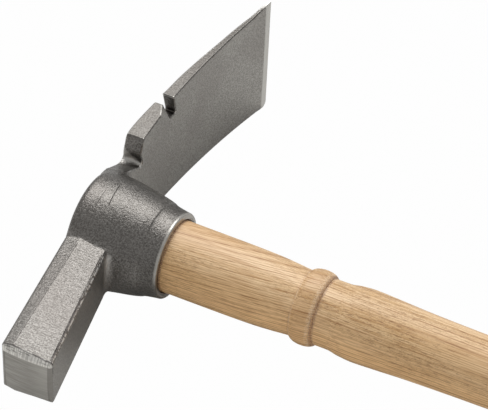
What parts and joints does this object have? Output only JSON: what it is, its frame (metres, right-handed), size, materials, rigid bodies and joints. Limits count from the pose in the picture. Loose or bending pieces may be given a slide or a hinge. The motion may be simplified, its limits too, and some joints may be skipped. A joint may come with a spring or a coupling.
{
  "type": "brick hammer",
  "caption": "Brick hammer: forged head with square poll, tapered round eye and wide transverse blade with a nail slot, on a turned wooden handle with a raised bead.",
  "frame": {"origin": "centre of the flat striking face of the poll", "axes": "+X runs parallel to the handle's axis from the head towards the butt, +Y from the striking face towards the cutting edge, +Z out of the side of the head whose blade edge carries the nail slot; the hammer lies on its side"},
  "size_m": [0.3215, 0.221, 0.0603],
  "materials": {
    "forged_steel": "forged, blasted grey steel with ground faces",
    "ash_wood": "turned and sanded ash",
    "wedge_wood": "sawn hardwood",
    "wedge_steel": "plain steel"
  },
  "bodies": {
    "root": {"hammer_head": "forged_steel", "handle": "ash_wood", "wooden_wedge": "wedge_wood", "steel_wedge_1": "wedge_steel", "steel_wedge_2": "wedge_steel"}
  },
  "joints": []
}
